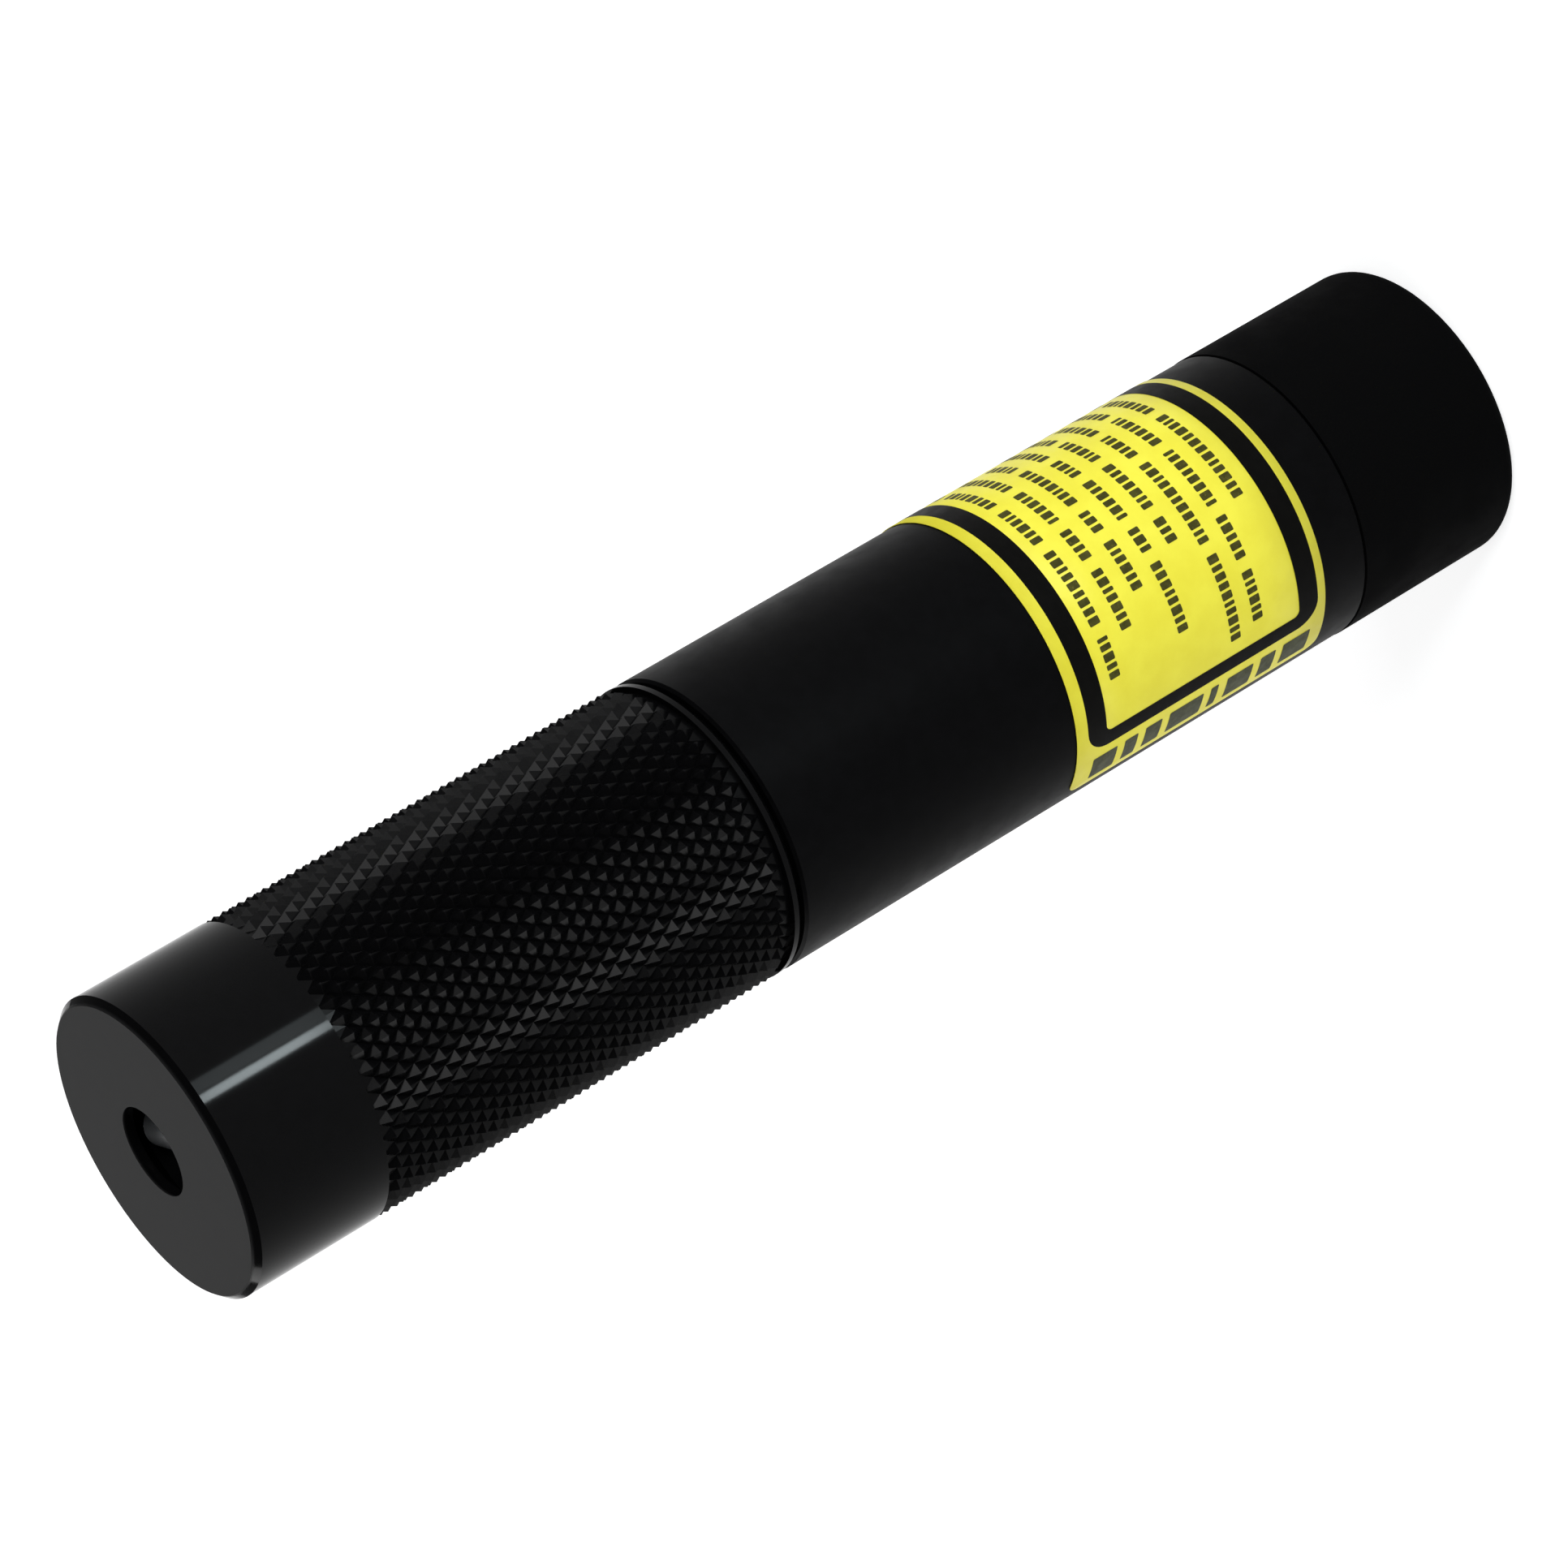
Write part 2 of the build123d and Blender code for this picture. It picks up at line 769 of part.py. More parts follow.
# Inlet's centre pin: round nose, shank through the shell's back, solder tag
pin_tip = socket_recess + inlet_pin_recess
with BuildPart() as socket_pin:
    with BuildSketch(Plane.XY.offset(pin_tip)):
        Circle(inlet_pin_diameter / 2)
    extrude(amount=inlet_floor - pin_tip)
    fillet(
        socket_pin.edges().filter_by(GeomType.CIRCLE).group_by(Axis.Z)[0],
        inlet_pin_rounding,
    )
    with BuildSketch(Plane.XY.offset(inlet_floor)):
        Circle(pin_shank_diameter / 2)
    extrude(amount=socket_back)
    with BuildSketch(Plane.XY.offset(socket_end)):
        Rectangle(pin_shank_diameter, tag_thickness)
    extrude(amount=tag_length)

# Inlet's side contact, one strip from the bore to its solder tag
with BuildPart() as socket_contact:
    with BuildSketch(Plane.XY.offset(contact_rear)):
        with Locations((0, -contact_middle)):
            Rectangle(contact_width, contact_thickness)
    extrude(amount=tag_end - contact_rear)

# Nut that clamps the inlet in the cap
with BuildPart() as socket_nut:
    with BuildSketch(Plane.XY.offset(cap_end_wall)):
        RegularPolygon(nut_across_flats / 2, 6, major_radius=False)
        Circle(socket_hole_radius, mode=Mode.SUBTRACT)
    extrude(amount=nut_height)

# Wires from the solder tags to the two faces of the board
wire_start = tag_end - solder_length
wire_bend_rear = tag_end + wire_diameter
wire_bend_front = board_rear + wire_diameter
wire_end = wire_bend_front + wire_pad_length
wire_lift = board_thickness / 2 + wire_diameter / 2 + running_clearance
contact_side = contact_middle + contact_thickness / 2 + wire_diameter / 2 + running_clearance

wire_routes = {
    "wire_red": (wire_lift, -wire_spread, wire_lift),
    "wire_black": (-contact_side, wire_spread, -wire_lift),
}
wires = {}
for node, (tag_y, pad_x, pad_y) in wire_routes.items():
    with BuildPart() as wire:
        with BuildLine() as route:
            FilletPolyline(
                (0, tag_y, wire_start),
                (0, tag_y, wire_bend_rear),
                (pad_x, pad_y, wire_bend_front),
                (pad_x, pad_y, wire_end),
                radius=wire_bend,
            )
        with BuildSketch(Plane(origin=route.line @ 0, z_dir=route.line % 0)):
            Circle(wire_diameter / 2)
        sweep()
    wires[node] = wire

pieces = {
    "focus_head": focus_head,
    "body_tube": body_tube,
    "snap_ring": snap_ring,
    "head_o_ring": head_o_ring,
    "lens_cell": lens_cell,
    "collimator_lens": collimator_lens,
    "collimator_ring": collimator_ring,
    "line_lens": line_lens,
    "line_lens_mount": line_lens_mount,
    "preload_spring": preload_spring,
    "diode_holder": diode_holder,
    "laser_diode": laser_diode,
    "diode_clamp_ring": diode_clamp_ring,
    "board_sleeve": board_sleeve,
    "driver_board": driver_board,
    "driver_chip": driver_chip,
    "filter_capacitor": filter_capacitor,
    "trim_pot": trim_pot,
    "protection_diode": protection_diode,
    "chip_resistors": chip_resistors,
    "label": label,
    "tail_cap": tail_cap,
    "tail_o_ring": tail_o_ring,
    "socket_body": socket_body,
    "socket_pin": socket_pin,
    "socket_contact": socket_contact,
    "socket_nut": socket_nut,
    **wires,
}
os.makedirs("parts", exist_ok=True)
for node, piece in pieces.items():
    piece.part.label = node
    export_step(piece.part, f"parts/{node}.step")
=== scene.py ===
"""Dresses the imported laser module: finishes, the wrapped label, the spring, floor, light and camera."""

import json
import math

import bpy
from mathutils import Matrix, Vector


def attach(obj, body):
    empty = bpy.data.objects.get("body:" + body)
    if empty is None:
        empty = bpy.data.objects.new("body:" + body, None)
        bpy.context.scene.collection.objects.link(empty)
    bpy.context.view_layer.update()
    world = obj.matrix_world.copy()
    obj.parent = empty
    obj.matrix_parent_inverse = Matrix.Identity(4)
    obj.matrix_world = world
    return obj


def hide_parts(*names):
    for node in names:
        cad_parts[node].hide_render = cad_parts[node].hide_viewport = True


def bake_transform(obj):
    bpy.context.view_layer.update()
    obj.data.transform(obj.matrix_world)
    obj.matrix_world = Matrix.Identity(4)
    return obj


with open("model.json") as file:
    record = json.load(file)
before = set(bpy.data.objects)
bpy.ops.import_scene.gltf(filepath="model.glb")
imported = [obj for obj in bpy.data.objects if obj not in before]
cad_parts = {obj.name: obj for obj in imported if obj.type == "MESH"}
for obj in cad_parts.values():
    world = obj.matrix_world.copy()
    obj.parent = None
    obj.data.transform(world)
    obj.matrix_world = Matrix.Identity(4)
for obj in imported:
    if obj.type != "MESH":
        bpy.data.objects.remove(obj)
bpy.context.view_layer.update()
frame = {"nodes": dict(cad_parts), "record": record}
nodes = frame["nodes"]

MM = 0.001
FRONT = 110.0  # height of the front face, mm
BARREL_RADIUS = 11.0  # mm


def on_barrel(station, turn, radius):
    """A point on a cylinder round the barrel's axis, in metres.

    The station is in mm from the front face. The turn is in degrees from -Y, the side that faces
    the camera, to -X.
    """
    angle = math.radians(turn)
    x, y, z = -radius * math.sin(angle), -radius * math.cos(angle), FRONT - station
    return Vector((x, y, z)) * MM


def new_object(name, points, faces, material):
    """A mesh object in the scene, with one material."""
    mesh = bpy.data.meshes.new(name)
    mesh.from_pydata(points, [], faces)
    mesh.materials.append(material)
    made = bpy.data.objects.new(name, mesh)
    bpy.context.scene.collection.objects.link(made)
    return made


# Node materials. Texture coordinates are the object's own, in metres in the model's frame.

NOISE_LOW, NOISE_HIGH = 0.3, 0.7  # nearly all of a noise lies between these
GLASS_IOR = 1.52


class Finish:
    """A material in the making, with short ways to add its nodes."""

    def __init__(self, name, colour, roughness, metallic=0.0, specular=0.5):
        self.material = bpy.data.materials.new(name)
        self.material.use_nodes = True
        self.material.diffuse_color = (*colour, 1.0)
        self.tree = self.material.node_tree
        self.shader = self.tree.nodes["Principled BSDF"]
        self.colour = colour
        self.shader.inputs["Base Color"].default_value = (*colour, 1.0)
        self.shader.inputs["Roughness"].default_value = roughness
        self.shader.inputs["Metallic"].default_value = metallic
        self.shader.inputs["Specular IOR Level"].default_value = specular
        self.place = self.add("ShaderNodeTexCoord").outputs["Object"]

    def add(self, kind, **settings):
        """Adds a node with its settings."""
        node = self.tree.nodes.new(kind)
        for key, value in settings.items():
            setattr(node, key, value)
        return node

    def feed(self, socket, value):
        """Links an output to a socket, or sets a plain value on it."""
        if isinstance(value, bpy.types.NodeSocket):
            self.tree.links.new(value, socket)
        else:
            socket.default_value = value

    def sum(self, operation, a, b=0.0, clamp=False):
        """What a Math node makes of one or two values."""
        node = self.add("ShaderNodeMath", operation=operation, use_clamp=clamp)
        self.feed(node.inputs[0], a)
        self.feed(node.inputs[1], b)
        return node.outputs[0]

    def spread(self, value, low, high, to_low, to_high):
        """Takes low..high to to_low..to_high, smoothly, and holds the ends."""
        node = self.add("ShaderNodeMapRange", interpolation_type="SMOOTHSTEP")
        for socket, number in zip(node.inputs, (value, low, high, to_low, to_high)):
            self.feed(socket, number)
        return node.outputs[0]

    def vary(self, noise, to_low, to_high):
        """Takes a noise to to_low..to_high."""
        return self.spread(noise, NOISE_LOW, NOISE_HIGH, to_low, to_high)

    def noise(self, scale, detail=3.0, roughness=0.55, place=None):
        """Soft noise from 0 to 1, its scale in spots per metre."""
        node = self.add("ShaderNodeTexNoise")
        self.feed(node.inputs["Vector"], place or self.place)
        self.feed(node.inputs["Scale"], scale)
        self.feed(node.inputs["Detail"], detail)
        self.feed(node.inputs["Roughness"], roughness)
        return node.outputs["Fac"]

    def mix(self, share, a, b):
        """Two colours, mixed by a share from 0 to 1."""
        node = self.add("ShaderNodeMix", data_type="RGBA")
        self.feed(node.inputs["Factor"], share)
        colours = [s for s in node.inputs if s.type == "RGBA"]
        for socket, colour in zip(colours, (a, b)):
            if isinstance(colour, bpy.types.NodeSocket):
                self.feed(socket, colour)
            else:
                socket.default_value = (*colour, 1.0)
        return [s for s in node.outputs if s.type == "RGBA"][0]

    def axes(self):
        """x, y and z as sockets, in metres."""
        split = self.add("ShaderNodeSeparateXYZ")
        self.feed(split.inputs[0], self.place)
        return split.outputs

    def radius(self):
        """Distance from the barrel's axis, in metres."""
        x, y = self.axes()[:2]
        squares = self.sum("ADD", self.sum("MULTIPLY", x, x), self.sum("MULTIPLY", y, y))
        return self.sum("SQRT", squares)

    def turned(self):
        """Coordinates that change only along the axis and outwards from it, as a lathe's marks do."""
        join = self.add("ShaderNodeCombineXYZ")
        self.feed(join.inputs[0], self.radius())
        self.feed(join.inputs[1], self.axes()[2])
        return join.outputs[0]

    def bump(self, height, depth, under=None):
        """A height from 0 to 1 as relief, its depth in metres, over the relief under it."""
        node = self.add("ShaderNodeBump")
        self.feed(node.inputs["Strength"], 1.0)
        self.feed(node.inputs["Distance"], depth)
        self.feed(node.inputs["Height"], height)
        if under is not None:
            self.feed(node.inputs["Normal"], under)
        return node.outputs["Normal"]

    def shade(self, colour=None, roughness=None, normal=None):
        """Feeds the shader and gives the material."""
        if colour is not None:
            self.feed(self.shader.inputs["Base Color"], colour)
        if roughness is not None:
            self.feed(self.shader.inputs["Roughness"], roughness)
        if normal is not None:
            self.feed(self.shader.inputs["Normal"], normal)
        return self.material

    def scaled(self, factor):
        """The base colour times a factor."""
        return tuple(min(c * factor, 1.0) for c in self.colour)

    def mottled(self, scale, low, high):
        """The base colour, a little darker and lighter in patches."""
        return self.mix(self.vary(self.noise(scale), 0.0, 1.0), self.scaled(low), self.scaled(high))


def turned_finish(name, colour, roughness, metallic=0.0, specular=0.5, depth=1.5e-6):
    """A turned piece: fine rings from the tool, and a finish that differs from place to place."""
    f = Finish(name, colour, roughness, metallic, specular)
    rings = f.noise(9000.0, 2.0, place=f.turned())
    grain = f.noise(8400.0, 2.0)
    rough = f.vary(f.noise(700.0, 4.0), roughness * 0.85, roughness * 1.2)
    normal = f.bump(grain, depth * 0.6, f.bump(rings, depth))
    return f.shade(f.mottled(700.0, 0.85, 1.15), rough, normal)


def moulded_finish(name, colour, roughness, specular=0.5, grain=6000.0, depth=4e-6, mottle=500.0):
    """A moulded, cast or coated piece: an even fine grain and a slight mottle."""
    f = Finish(name, colour, roughness, specular=specular)
    rough = f.vary(f.noise(mottle, 4.0), roughness * 0.9, roughness * 1.1)
    return f.shade(f.mottled(mottle, 0.85, 1.15), rough, f.bump(f.noise(grain), depth))


# Where the head's finish changes, in metres: from nothing to all over each pair.
CREST_RADII = (0.01093, 0.01105)
GRIP_REAR = (0.066, 0.0662)
GRIP_FRONT = (0.0993, 0.0995)
FACE_HEIGHTS = (0.1098, 0.10999)

CREST_COLOUR = (0.016, 0.016, 0.017)
# Painted sheen: the front face's colours are lighter than the anodising, standing in for the pale
# surroundings that it reflects.
FACE_PAINTED_SHEEN_DARK = (0.0085, 0.0085, 0.0089)
FACE_PAINTED_SHEEN_PALE = (0.0105, 0.0105, 0.0109)
GRIP_ROUGHER = 0.12
FACE_ROUGHER = 0.3


def head_finish():
    """Black anodised and glossy, rubbed paler on the knurl's crests, and rougher on the front face, whose
    colour is lightened there as a painted sheen.
    """
    f = Finish("head_anodised", (0.0016, 0.0016, 0.0018), 0.1, specular=0.04)
    z = f.axes()[2]
    crest = f.spread(f.radius(), *CREST_RADII, 0.0, 1.0)
    rear, front = f.spread(z, *GRIP_REAR, 0.0, 1.0), f.spread(z, *GRIP_FRONT, 1.0, 0.0)
    grip = f.sum("MULTIPLY", rear, front)
    face = f.spread(z, *FACE_HEIGHTS, 0.0, 1.0)
    worn = f.sum("MULTIPLY", crest, f.spread(f.noise(420.0, 4.0), 0.35, 0.75, 0.12, 0.6))
    worn = f.sum("MULTIPLY", worn, grip)
    colour = f.mix(worn, f.mottled(900.0, 0.9, 1.1), CREST_COLOUR)
    # Painted sheen: the front face takes the lighter colours, in place of the light that it reflects.
    colour = f.mix(face, colour, f.mix(f.noise(700.0, 4.0), FACE_PAINTED_SHEEN_DARK, FACE_PAINTED_SHEEN_PALE))
    rough = f.vary(f.noise(600.0, 4.0), 0.094, 0.1)
    rough = f.sum("ADD", rough, f.sum("MULTIPLY", grip, GRIP_ROUGHER))
    rough = f.sum("ADD", rough, f.sum("MULTIPLY", face, FACE_ROUGHER))
    rings = f.noise(9000.0, 2.0, place=f.turned())
    return f.shade(colour, rough, f.bump(rings, 2e-7))


def barrel_finish():
    """Black anodised over a fine blasted surface, so that it is satin."""
    f = Finish("barrel_anodised", (0.0012, 0.0012, 0.0014), 0.42, specular=0.025)
    rough = f.vary(f.noise(500.0, 4.0), 0.39, 0.46)
    grain = f.bump(f.noise(14000.0, 2.0), 1.2e-6)
    rings = f.bump(f.noise(5000.0, 2.0, place=f.turned()), 5e-7, grain)
    return f.shade(f.mottled(800.0, 0.8, 1.2), rough, rings)


def film_finish():
    """Yellow film, a little uneven in colour and gloss."""
    f = Finish("label_film", (0.76, 0.69, 0.045), 0.42, specular=0.25)
    share = f.vary(f.noise(350.0, 5.0), 0.0, 1.0)
    colour = f.mix(share, (0.735, 0.66, 0.04), (0.785, 0.72, 0.053))
    rough = f.vary(f.noise(900.0), 0.38, 0.47)
    return f.shade(colour, rough, f.bump(f.noise(3500.0), 2.5e-6))


def ink_finish(name, colour, fade):
    """Ink on the film: dark, with the film's yellow coming through it in specks."""
    f = Finish(name, colour, 0.45, specular=0.03)
    specks = f.spread(f.noise(5200.0, 4.0, 0.7), 0.55, 0.8, 0.0, 1.0)
    share = f.sum("MULTIPLY", specks, fade)
    colour = f.mix(share, f.mottled(1500.0, 0.8, 1.25), (0.25, 0.22, 0.03))
    return f.shade(colour, f.vary(f.noise(900.0), 0.4, 0.5), f.bump(f.noise(4000.0), 1.5e-6))


def glass_finish():
    """Clear glass with a faint coating that isn't quite even."""
    f = Finish("lens_glass", (0.97, 0.98, 0.99), 0.02)
    f.shader.inputs["Transmission Weight"].default_value = 1.0
    f.shader.inputs["IOR"].default_value = GLASS_IOR
    colour = f.mix(f.noise(300.0), (0.93, 0.97, 0.99), (0.98, 0.99, 1.0))
    return f.shade(colour, f.spread(f.noise(800.0, 4.0), 0.4, 0.8, 0.015, 0.05))


def rod_finish():
    """A small ground glass rod: hazy along its length, so that it holds a soft grey light."""
    f = Finish("rod_glass", (0.62, 0.64, 0.66), 0.34)
    f.shader.inputs["Transmission Weight"].default_value = 0.8
    f.shader.inputs["IOR"].default_value = GLASS_IOR
    colour = f.mix(f.noise(1500.0), (0.56, 0.58, 0.6), (0.68, 0.7, 0.72))
    return f.shade(colour, f.vary(f.noise(2500.0, 4.0), 0.28, 0.4))


def board_finish():
    """Green laminate: the weave shows through, and paler lines run where the copper is."""
    f = Finish("board_laminate", (0.012, 0.11, 0.035), 0.38)
    turn = f.add("ShaderNodeMapping")
    f.feed(turn.inputs["Vector"], f.place)
    turn.inputs["Rotation"].default_value = (math.radians(90.0), 0.0, 0.0)
    weave = f.add("ShaderNodeTexWave", wave_type="BANDS", bands_direction="DIAGONAL")
    f.feed(weave.inputs["Vector"], turn.outputs[0])
    f.feed(weave.inputs["Scale"], 1400.0)
    tracks = f.add("ShaderNodeTexBrick")
    f.feed(tracks.inputs["Vector"], turn.outputs[0])
    f.feed(tracks.inputs["Scale"], 320.0)
    f.feed(tracks.inputs["Mortar Size"], 0.05)
    tracks.inputs["Color1"].default_value = (0.011, 0.10, 0.032, 1.0)
    tracks.inputs["Color2"].default_value = (0.014, 0.12, 0.038, 1.0)
    tracks.inputs["Mortar"].default_value = (0.05, 0.23, 0.09, 1.0)
    normal = f.bump(weave.outputs["Fac"], 3e-6, f.bump(tracks.outputs["Fac"], 8e-6))
    return f.shade(tracks.outputs["Color"], f.vary(f.noise(900.0), 0.3, 0.45), normal)


def wire_finish(name, colour):
    """Smooth insulation with the faint lengthwise flow of an extruded skin."""
    f = Finish(name, colour, 0.34, specular=0.45)
    stretch = f.add("ShaderNodeMapping")
    f.feed(stretch.inputs["Vector"], f.place)
    stretch.inputs["Scale"].default_value = (1.0, 1.0, 0.12)
    flow = f.noise(7000.0, 2.0, place=stretch.outputs[0])
    return f.shade(f.mottled(600.0, 0.85, 1.12), f.vary(flow, 0.3, 0.4), f.bump(flow, 2e-6))


finishes = {
    "head_anodised": head_finish(),
    "barrel_anodised": barrel_finish(),
    "inner_anodised": turned_finish("inner_anodised", (0.008, 0.008, 0.009), 0.5, specular=0.15),
    "spring_steel": turned_finish("spring_steel", (0.5, 0.5, 0.52), 0.28, metallic=1.0),
    "seal_rubber": moulded_finish(
        "seal_rubber", (0.012, 0.012, 0.012), 0.65, specular=0.3, grain=4000.0, depth=6e-6
    ),
    "cell_brass": turned_finish("cell_brass", (0.70, 0.47, 0.17), 0.3, metallic=1.0, depth=3e-6),
    "lens_glass": glass_finish(),
    "diode_metal": turned_finish("diode_metal", (0.80, 0.58, 0.25), 0.22, metallic=1.0),
    "sleeve_plastic": moulded_finish("sleeve_plastic", (0.72, 0.70, 0.64), 0.5),
    "board_laminate": board_finish(),
    "chip_plastic": moulded_finish(
        "chip_plastic", (0.018, 0.018, 0.019), 0.55, specular=0.4, grain=9000.0, depth=5e-6
    ),
    "capacitor_can": turned_finish("capacitor_can", (0.66, 0.67, 0.69), 0.25, metallic=1.0),
    "trim_plastic": moulded_finish("trim_plastic", (0.02, 0.09, 0.38), 0.45),
    "resistor_ceramic": moulded_finish(
        "resistor_ceramic", (0.03, 0.03, 0.034), 0.3, grain=7000.0, depth=2e-6
    ),
    "label_film": film_finish(),
    "cap_plastic": moulded_finish(
        "cap_plastic", (0.0017, 0.0017, 0.0018), 0.85, specular=0.02, grain=9000.0, depth=6e-6, mottle=300.0
    ),
    "socket_plastic": moulded_finish(
        "socket_plastic", (0.009, 0.009, 0.0095), 0.5, specular=0.25, grain=7000.0
    ),
    "contact_metal": turned_finish("contact_metal", (0.66, 0.63, 0.58), 0.24, metallic=1.0),
    "wire_red": wire_finish("wire_red", (0.45, 0.012, 0.012)),
    "wire_black": wire_finish("wire_black", (0.012, 0.012, 0.013)),
}
own_finishes = {"line_lens": rod_finish()}
for row in frame["record"]["subparts"]:
    piece = nodes[row["node"]]
    piece.data.materials.clear()
    piece.data.materials.append(own_finishes.get(row["node"], finishes[row["material_slot"]]))


# The label: film wrapped on the barrel, and its print as thin plain shapes on the film. All in mm.

FILM_RADIUS = 11.08  # of the film's outer side
FILM_THICK = 0.06
FILM_CORNER = 1.0
INK_LIFT = 0.012
INK_RADIUS = FILM_RADIUS + INK_LIFT
DEGREE_MM = math.pi / 180 * FILM_RADIUS  # arc of a degree on the film
ROW_STEP = 0.2  # arc between rows of a patch
BEND_DEGREES = 10  # between rows in a patch's corners
PATCH_COLUMNS = 4
CORNER_STEPS = 9
SIDE_STEPS = 160
RING_ROWS = 6


def arc(turn):
    """Degrees round the barrel as mm along the film."""
    return turn * DEGREE_MM


def rounded_rows(v0, v1, corner):
    """Places of a patch's rows, closer together in its corners."""
    bends = [corner * (1 - math.cos(math.radians(a))) for a in range(0, 91, BEND_DEGREES)]
    straight = v1 - v0 - 2 * corner
    count = max(2, math.ceil(straight / ROW_STEP))
    rows = [v0 + bend for bend in bends]
    rows += [v0 + corner + straight * k / count for k in range(1, count)]
    rows += [v1 - bend for bend in reversed(bends)]
    return rows


def patch(points, faces, u0, u1, v0, v1, corner, radius):
    """Adds a round-cornered patch. u is the station and v the arc down from the facing side."""
    start = len(points)
    rows = rounded_rows(v0, v1, corner)
    for v in rows:
        depth = max(0.0, corner - min(v - v0, v1 - v))
        inset = corner - math.sqrt(max(0.0, corner**2 - depth**2))
        for k in range(PATCH_COLUMNS + 1):
            u = u0 + inset + (u1 - u0 - 2 * inset) * k / PATCH_COLUMNS
            points.append(on_barrel(u, v / DEGREE_MM, radius))
    for row in range(len(rows) - 1):
        for k in range(PATCH_COLUMNS):
            a = start + row * (PATCH_COLUMNS + 1) + k
            faces.append((a, a + 1, a + PATCH_COLUMNS + 2, a + PATCH_COLUMNS + 1))


def rounded_loop(u0, u1, v0, v1, corner):
    """Points round a round-cornered rectangle, with points along its sides too."""
    corners = (
        (u1 - corner, v1 - corner, 0),
        (u0 + corner, v1 - corner, 90),
        (u0 + corner, v0 + corner, 180),
        (u1 - corner, v0 + corner, 270),
    )
    loop = []
    for index, (u, v, turn) in enumerate(corners):
        angles = [math.radians(turn + 90 * k / CORNER_STEPS) for k in range(CORNER_STEPS + 1)]
        loop += [(u + corner * math.cos(a), v + corner * math.sin(a)) for a in angles]
        next_u, next_v, next_turn = corners[(index + 1) % len(corners)]
        a = math.radians(next_turn)
        end, begin = loop[-1], (next_u + corner * math.cos(a), next_v + corner * math.sin(a))
        loop += [
            tuple(p + (q - p) * k / SIDE_STEPS for p, q in zip(end, begin))
            for k in range(1, SIDE_STEPS)
        ]
    return loop


def ring(points, faces, outer, inner, radius):
    """Adds the band between two loops of as many points each."""
    start = len(points)
    count = len(outer)
    for row in range(RING_ROWS + 1):
        for (u0, v0), (u1, v1) in zip(outer, inner):
            u = u0 + (u1 - u0) * row / RING_ROWS
            v = v0 + (v1 - v0) * row / RING_ROWS
            points.append(on_barrel(u, v / DEGREE_MM, radius))
    for row in range(RING_ROWS):
        for k in range(count):
            a = start + row * count + k
            b = start + row * count + (k + 1) % count
            faces.append((a, b, b + count, a + count))


def film_piece(name, points, faces, material):
    """A smooth piece that rides on the housing, with its faces turned outwards."""
    piece = new_object(name, points, faces, material)
    first = piece.data.polygons[0]
    if first.normal.dot(first.center * Vector((1.0, 1.0, 0.0))) < 0:
        piece.data.flip_normals()
    piece.data.shade_smooth()
    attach(piece, "housing")
    return piece


FILM = (68.7, 91.5, arc(-132.7), arc(75.7))  # first and last station, upper and lower edge
points, faces = [], []
patch(points, faces, *FILM, FILM_CORNER, FILM_RADIUS)
film = film_piece("label_film_sheet", points, faces, finishes["label_film"])
thick = film.modifiers.new("thickness", "SOLIDIFY")
thick.thickness = FILM_THICK * MM
thick.offset = -1.0
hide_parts("label")

black_ink = ink_finish("ink_black", (0.0015, 0.0014, 0.0012), 0.0)
thin_ink = ink_finish("ink_thin", (0.05, 0.047, 0.012), 0.6)
grey_ink = ink_finish("ink_grey", (0.062, 0.066, 0.042), 0.35)

# The black frame: stations and edges as the film's, then the corner's radius.
FRAME_OUTER = (69.7, 90.8, arc(-127.0), arc(55.8), 1.9)
FRAME_INNER = (71.35, 89.05, arc(-119.5), arc(49.2), 0.5)
points, faces = [], []
ring(points, faces, rounded_loop(*FRAME_OUTER), rounded_loop(*FRAME_INNER), INK_RADIUS)
film_piece("label_frame", points, faces, black_ink)

# Lines of small plain blocks inside the frame. Each line has its station, the turn of its lower end,
# and the counts of blocks in its groups, from the lower end up.
LINE_HEIGHT = 0.9
LINE_CORNER = 0.1
BLOCK_WIDTHS = (0.52, 0.38, 0.6, 0.44, 0.3, 0.56, 0.48)
BLOCK_GAP = 0.2
GROUP_GAP = 0.75
LINES = (
    (72.7, 30.0, (5, 9, 6, 8, 4)),
    (74.8, 16.0, (7, 4, 6, 9)),
    (76.9, 6.0, (6, 3, 8, 5)),
    (79.0, 28.0, (8, 3, 6, 4, 9)),
    (81.1, -2.0, (3, 7, 6, 8)),
    (83.2, 43.0, (10, 11, 5, 7, 6)),
    (85.3, 40.0, (6, 5, 8, 7, 6, 7)),
    (87.4, -4.0, (13, 8, 4)),
)
points, faces = [], []
for station, lower, groups in LINES:
    first, last = station - LINE_HEIGHT / 2, station + LINE_HEIGHT / 2
    v = arc(lower)
    used = 0
    for count in groups:
        for _ in range(count):
            width = BLOCK_WIDTHS[used % len(BLOCK_WIDTHS)]
            used += 1
            patch(points, faces, first, last, v - width, v, LINE_CORNER, INK_RADIUS)
            v -= width + BLOCK_GAP
        v -= GROUP_GAP
film_piece("label_lines", points, faces, thin_ink)

# The strip of plain blocks below the frame: first station and length of each.
STRIP_EDGES = (arc(60.2), arc(72.0))
STRIP_CORNER = 0.12
BLOCKS = (
    (70.3, 2.2),
    (73.2, 1.2),
    (75.1, 1.5),
    (77.3, 3.1),
    (81.1, 0.7),
    (82.6, 2.4),
    (85.7, 1.4),
    (87.8, 2.5),
)
points, faces = [], []
for station, length in BLOCKS:
    patch(points, faces, station, station + length, *STRIP_EDGES, STRIP_CORNER, INK_RADIUS)
film_piece("label_blocks", points, faces, grey_ink)


# The coil spring stands on the diode's holder, with its front end at the lens cell. All in mm.

COIL_RADIUS = 5.45
COIL_TURNS = 3.5
COIL_REAR = 87.3  # heights of the wire's middle at its two ends
COIL_FRONT = 91.675
COIL_STEPS = 168
WIRE_RADIUS = 0.25
WIRE_SIDES = 12

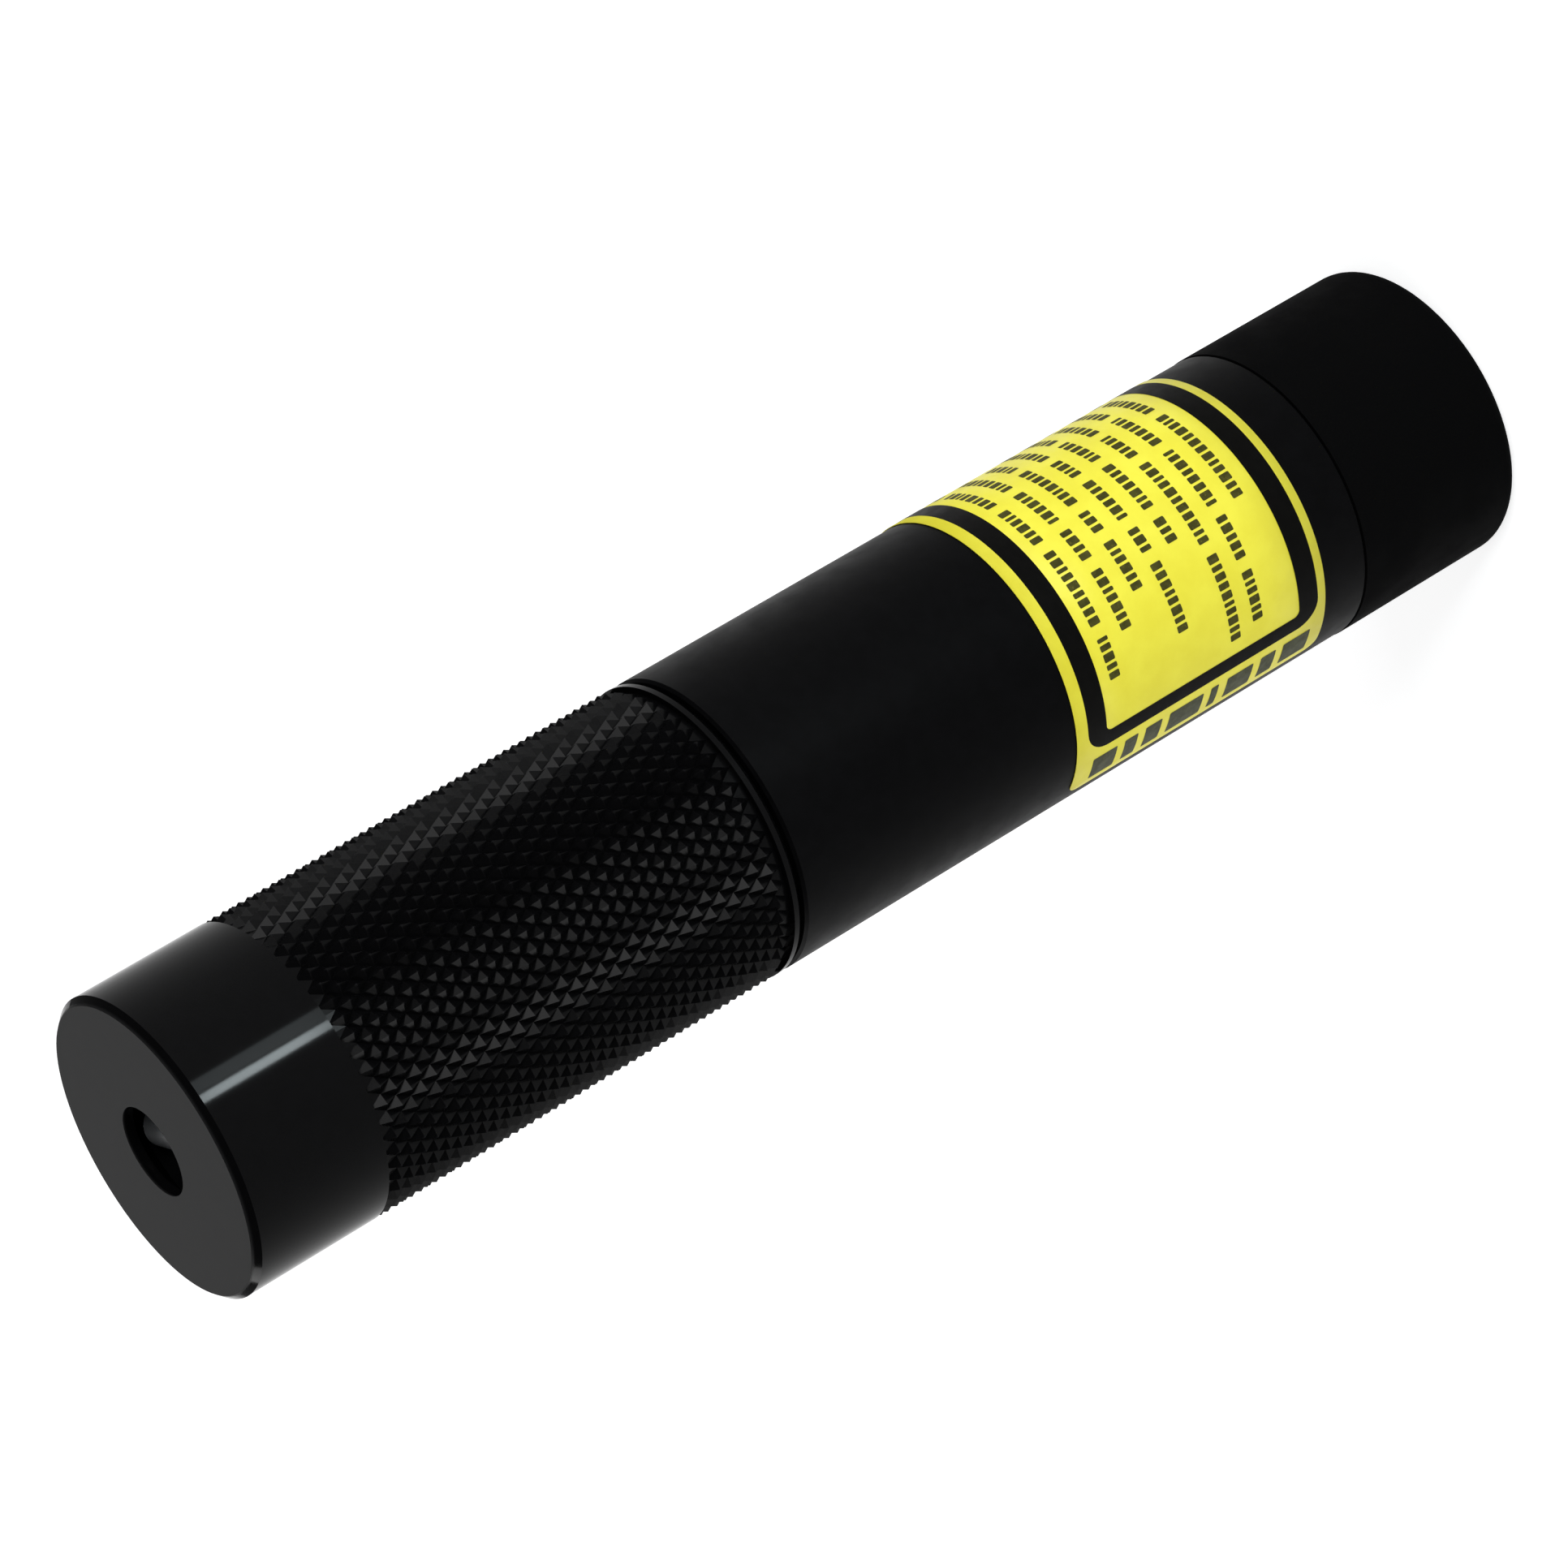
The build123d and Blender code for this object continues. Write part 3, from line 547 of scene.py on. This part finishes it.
rise = COIL_FRONT - COIL_REAR
slope = math.atan2(rise, 2 * math.pi * COIL_RADIUS * COIL_TURNS)
points, faces = [], []
for step in range(COIL_STEPS + 1):
    turn = 2 * math.pi * COIL_TURNS * step / COIL_STEPS
    outward = Vector((math.cos(turn), math.sin(turn), 0.0))
    along = Vector((-math.sin(turn), math.cos(turn), 0.0))
    upward = Vector((0.0, 0.0, math.cos(slope))) - along * math.sin(slope)
    middle = outward * COIL_RADIUS + Vector((0.0, 0.0, COIL_REAR + rise * step / COIL_STEPS))
    for side in range(WIRE_SIDES):
        a = 2 * math.pi * side / WIRE_SIDES
        points.append((middle + (outward * math.cos(a) + upward * math.sin(a)) * WIRE_RADIUS) * MM)
for step in range(COIL_STEPS):
    for side in range(WIRE_SIDES):
        a = step * WIRE_SIDES + side
        b = step * WIRE_SIDES + (side + 1) % WIRE_SIDES
        faces.append((a, a + WIRE_SIDES, b + WIRE_SIDES, b))
faces.append(tuple(range(WIRE_SIDES)))
faces.append(tuple(COIL_STEPS * WIRE_SIDES + side for side in reversed(range(WIRE_SIDES))))
coil = new_object("preload_coil", points, faces, finishes["spring_steel"])
coil.data.polygons.foreach_set("use_smooth", [len(face) == 4 for face in faces])
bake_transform(coil)
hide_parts("preload_spring")


# Floor, lamps, world and camera, in metres.

FLOOR_TOP_UP = 0.64
FLOOR_HALF = 4.0


def floor_finish():
    """A pale floor that the camera, reflections and glass see as white, with the shadow kept."""
    f = Finish("floor_pale", (0.82, 0.82, 0.82), 0.9, specular=0.0)
    f.shade(f.mix(f.noise(6.0, 2.0), (0.81, 0.81, 0.81), (0.83, 0.83, 0.83)))
    path = f.add("ShaderNodeLightPath")
    seen = f.sum("ADD", path.outputs["Is Camera Ray"], path.outputs["Is Glossy Ray"], clamp=True)
    seen = f.sum("ADD", seen, path.outputs["Is Transmission Ray"], clamp=True)
    glow = f.add("ShaderNodeEmission")
    f.feed(glow.inputs["Strength"], f.sum("MULTIPLY", seen, FLOOR_TOP_UP))
    both = f.add("ShaderNodeAddShader")
    f.feed(both.inputs[0], f.shader.outputs[0])
    f.feed(both.inputs[1], glow.outputs[0])
    f.feed(f.tree.nodes["Material Output"].inputs["Surface"], both.outputs[0])
    return f.material


FLOOR_CORNERS = [(x * FLOOR_HALF, y * FLOOR_HALF, 0.0) for x, y in ((-1, -1), (1, -1), (1, 1), (-1, 1))]
floor = new_object("floor", FLOOR_CORNERS, [(0, 1, 2, 3)], floor_finish())


def lamp(name, target, direction, distance, width, length, watts, colour=(1.0, 1.0, 1.0)):
    """A soft lamp at a distance from its target, its length as upright as it can be."""
    data = bpy.data.lights.new(name, "AREA")
    data.color = colour
    data.shape = "RECTANGLE"
    data.size = width
    data.size_y = length
    data.energy = watts
    backward = Vector(direction).normalized()
    right = Vector((0.0, 0.0, 1.0)).cross(backward).normalized()
    up = backward.cross(right)
    place = Vector(target) + backward * distance
    made = bpy.data.objects.new(name, data)
    made.matrix_world = Matrix.Translation(place) @ Matrix((right, up, backward)).transposed().to_4x4()
    made.visible_camera = False
    bpy.context.scene.collection.objects.link(made)


MIDDLE = (0.0, 0.0, FRONT / 2 * MM)
GRIP_SPOT = on_barrel(27.0, -13.5, BARREL_RADIUS)
BAND_SPOT = on_barrel(5.0, -6.5, BARREL_RADIUS)
BAND_EDGE_SPOT = on_barrel(5.0, -11.0, BARREL_RADIUS)
COOL = (0.86, 0.97, 1.0)

# Each lamp's target, direction from the target, distance, width, length and watts.
lamp("key", GRIP_SPOT, (0.427, -0.847, 0.317), 0.9, 0.36, 0.3, 3.9)
lamp("fill", MIDDLE, (-0.955, -0.21, 0.19), 1.1, 0.8, 0.25, 4.1)
lamp("low", MIDDLE, (-0.80, 0.54, 0.27), 1.1, 0.69, 0.41, 3.6)
lamp("back", MIDDLE, (0.0, 0.88, 0.47), 1.1, 0.9, 0.9, 2.4)
lamp("side", MIDDLE, (0.80, -0.50, 0.31), 1.1, 0.44, 0.44, 3.3)
lamp("strip", BAND_SPOT, (0.2121, -0.9065, -0.3647), 0.2, 0.02, 0.016, 0.1, COOL)
lamp("strip_edge", BAND_EDGE_SPOT, (0.3536, -0.8614, -0.3646), 0.2, 0.03, 0.02, 0.02, COOL)

ROOM_COLOUR = (0.98, 0.99, 1.0, 1.0)
ROOM_STRENGTH = 0.16
world = bpy.data.worlds.new("room")
world.use_nodes = True
background = world.node_tree.nodes["Background"]
background.inputs["Color"].default_value = ROOM_COLOUR
background.inputs["Strength"].default_value = ROOM_STRENGTH
bpy.context.scene.world = world

# The camera, rolled so that the standing module lies in the picture as it does in the photo.
CAMERA_PLACE = (0.0, -0.38994, 0.25343)
CAMERA_BACK = Vector((0.00077, -0.89403, 0.44800)).normalized()
CAMERA_UP = Vector((0.86064, -0.22753, -0.45555)).normalized()
CAMERA_RIGHT = CAMERA_UP.cross(CAMERA_BACK)
camera_data = bpy.data.cameras.new("camera")
camera_data.sensor_width = 36.0
camera_data.lens = 149.07
camera_data.clip_start = 0.01
camera = bpy.data.objects.new("camera", camera_data)
camera.matrix_world = (
    Matrix.Translation(CAMERA_PLACE)
    @ Matrix((CAMERA_RIGHT, CAMERA_UP, CAMERA_BACK)).transposed().to_4x4()
)
bpy.context.scene.collection.objects.link(camera)
bpy.context.scene.camera = camera
bpy.context.scene.view_settings.view_transform = "Standard"
